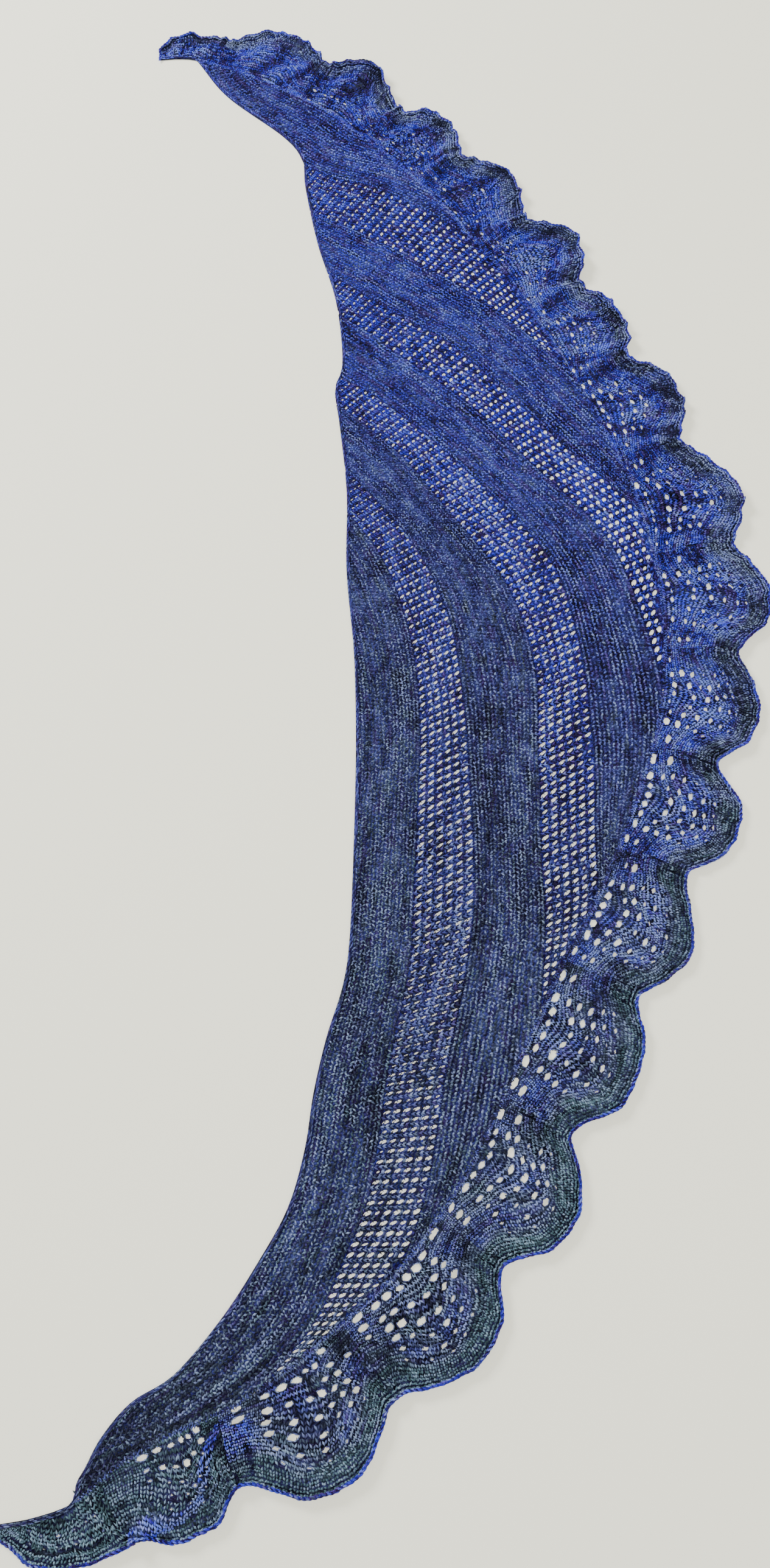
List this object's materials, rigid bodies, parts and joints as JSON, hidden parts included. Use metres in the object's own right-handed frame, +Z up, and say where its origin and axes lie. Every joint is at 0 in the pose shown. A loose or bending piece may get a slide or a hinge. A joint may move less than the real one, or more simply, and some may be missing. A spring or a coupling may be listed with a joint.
{
  "type": "lace shawl",
  "caption": "Crescent knitted shawl of blue hand-dyed wool, laid flat: plain ridged stripes, eyelet mesh bands and a scalloped lace border with a rolled bound-off edge.",
  "frame": {"origin": "centre of the shawl's box in plan, on the surface that it lies on", "axes": "+Z up from the surface, +Y along the shawl towards its upper tip, +X from the neck edge to the scalloped border"},
  "size_m": [0.7318, 1.7346, 0.0155],
  "materials": {
    "plain stripe wool": "matt hand-dyed wool, close ridged knitting, flecked navy, steel blue and indigo",
    "mesh band wool": "matt hand-dyed wool, open eyelet mesh, royal blue",
    "lace border wool": "matt hand-dyed wool, fans of holes, indigo with dark teal rows near the edge",
    "bound edge wool": "matt hand-dyed wool, rolled bound-off cord, bright royal blue"
  },
  "bodies": {
    "root": {"plain_stripe_1": "plain stripe wool", "plain_stripe_2": "plain stripe wool", "plain_stripe_3": "plain stripe wool", "plain_stripe_4": "plain stripe wool", "plain_stripe_5": "plain stripe wool", "mesh_band_1": "mesh band wool", "mesh_band_2": "mesh band wool", "mesh_band_3": "mesh band wool", "mesh_band_4": "mesh band wool", "lace_border_1": "lace border wool", "lace_border_2": "lace border wool", "lace_border_3": "lace border wool", "lace_border_4": "lace border wool", "lace_border_5": "lace border wool", "bound_edge_1": "bound edge wool", "bound_edge_2": "bound edge wool", "bound_edge_3": "bound edge wool", "bound_edge_4": "bound edge wool", "bound_edge_5": "bound edge wool"}
  },
  "joints": []
}
